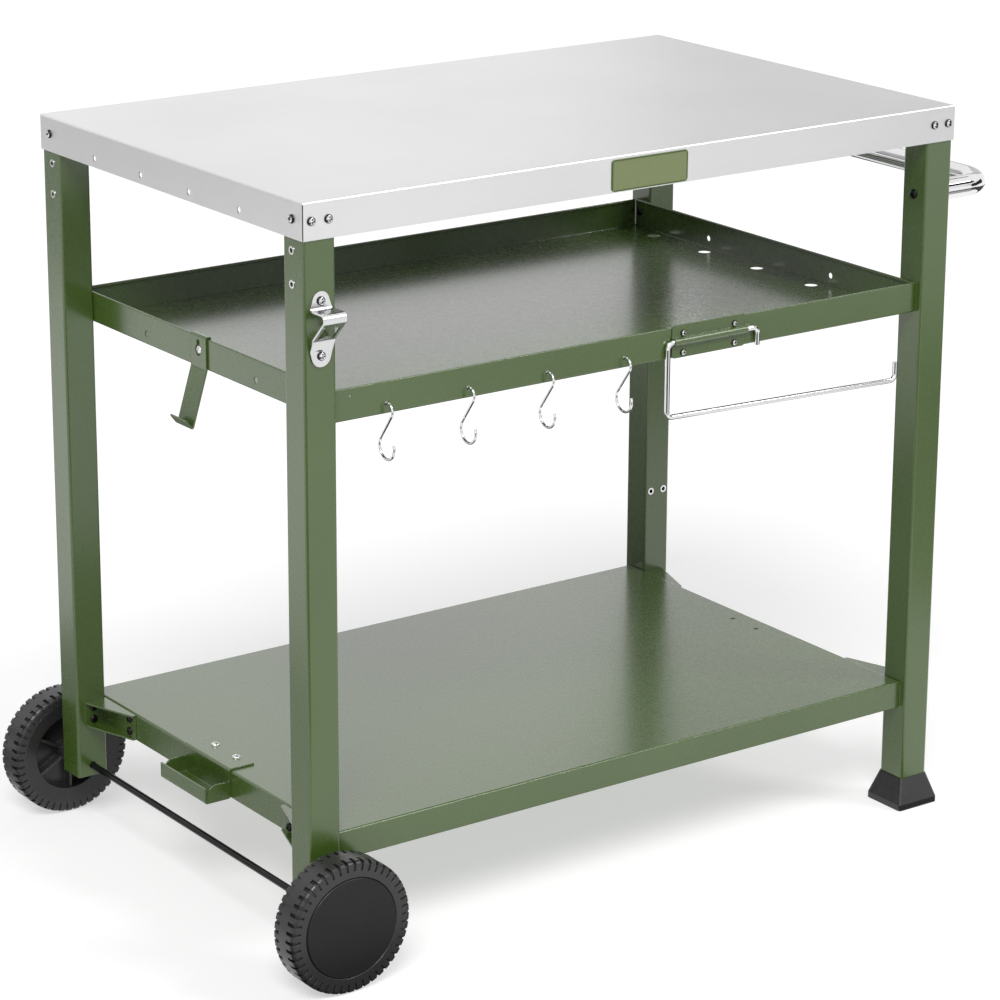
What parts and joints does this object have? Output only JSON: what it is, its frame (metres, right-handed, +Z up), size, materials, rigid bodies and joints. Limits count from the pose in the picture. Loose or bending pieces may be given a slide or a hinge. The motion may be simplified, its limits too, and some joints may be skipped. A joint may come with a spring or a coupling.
{
  "type": "barbecue prep table",
  "caption": "Rolling outdoor prep table with a steel worktop, utensil tray, low shelf, push handle, paper roll holder, hanging hooks, bottle opener and gas bottle hook and cradle.",
  "frame": {"origin": "on the floor, under the middle of the table's overall length and depth", "axes": "+X along the worktop from the wheels to the handle, +Y from front to back, +Z up"},
  "size_m": [1.016, 0.6416, 0.846],
  "materials": {
    "brushed_top": "fine satin",
    "green_paint": "satin powder coat",
    "zinc": "bright zinc plate",
    "black_steel": "black oxide",
    "chrome": "polished",
    "black_plastic": "matte",
    "black_gloss": "semi-gloss",
    "black_rubber": "matte"
  },
  "bodies": {
    "table": {"axle": "black_steel", "axle_nuts": "zinc", "axle_washers": "zinc", "badge_plate": "green_paint", "bottle_opener": "chrome", "cradle_nuts": "zinc", "cradle_screws": "zinc", "foot_back_right": "black_rubber", "foot_front_right": "black_rubber", "gusset_back_left": "green_paint", "gusset_back_right": "green_paint", "gusset_front_left": "green_paint", "gusset_front_right": "green_paint", "gusset_nuts": "zinc", "gusset_screws": "black_steel", "handle": "chrome", "handle_bolts": "black_steel", "handle_plugs": "black_plastic", "leg_back_left": "green_paint", "leg_back_right": "green_paint", "leg_front_left": "green_paint", "leg_front_right": "green_paint", "leg_rivet_nuts": "zinc", "opener_screws": "zinc", "roll_bracket": "green_paint", "roll_bracket_nuts": "zinc", "roll_bracket_screws": "zinc", "shelf": "green_paint", "tank_cradle": "green_paint", "tank_hook": "green_paint", "tank_hook_nut": "zinc", "tank_hook_screw": "zinc", "tray": "green_paint", "tray_screws": "black_steel", "worktop": "brushed_top", "worktop_screws": "zinc"},
    "front_wheel": {"wheel_front": "black_plastic", "wheel_cap_front": "black_gloss"},
    "back_wheel": {"wheel_back": "black_plastic", "wheel_cap_back": "black_gloss"},
    "roll_holder": {"roll_wire": "chrome"},
    "hook_1": {"s_hook_1": "chrome"},
    "hook_2": {"s_hook_2": "chrome"},
    "hook_3": {"s_hook_3": "chrome"},
    "hook_4": {"s_hook_4": "chrome"}
  },
  "joints": [
    {"name": "wheel_front_spin", "type": "hinge", "parent": "table", "child": "front_wheel", "pos_m": [-0.4335, -0.301, 0.0745], "axis": [0, 1, 0], "continuous": true},
    {"name": "wheel_back_spin", "type": "hinge", "parent": "table", "child": "back_wheel", "pos_m": [-0.4335, 0.301, 0.0745], "axis": [0, 1, 0], "continuous": true},
    {"name": "roll_holder_swing", "type": "hinge", "parent": "table", "child": "roll_holder", "pos_m": [0.0765, -0.2644, 0.627], "axis": [-1, 0, 0], "range_deg": [0, 95]},
    {"name": "hook_1_swing", "type": "hinge", "parent": "table", "child": "hook_1", "pos_m": [-0.347, -0.2604, 0.619], "axis": [1, 0, 0], "range_deg": [-15, 25]},
    {"name": "hook_2_swing", "type": "hinge", "parent": "table", "child": "hook_2", "pos_m": [-0.244, -0.2604, 0.619], "axis": [1, 0, 0], "range_deg": [-15, 25]},
    {"name": "hook_3_swing", "type": "hinge", "parent": "table", "child": "hook_3", "pos_m": [-0.141, -0.2604, 0.619], "axis": [1, 0, 0], "range_deg": [-15, 25]},
    {"name": "hook_4_swing", "type": "hinge", "parent": "table", "child": "hook_4", "pos_m": [-0.038, -0.2604, 0.619], "axis": [1, 0, 0], "range_deg": [-15, 25]}
  ]
}
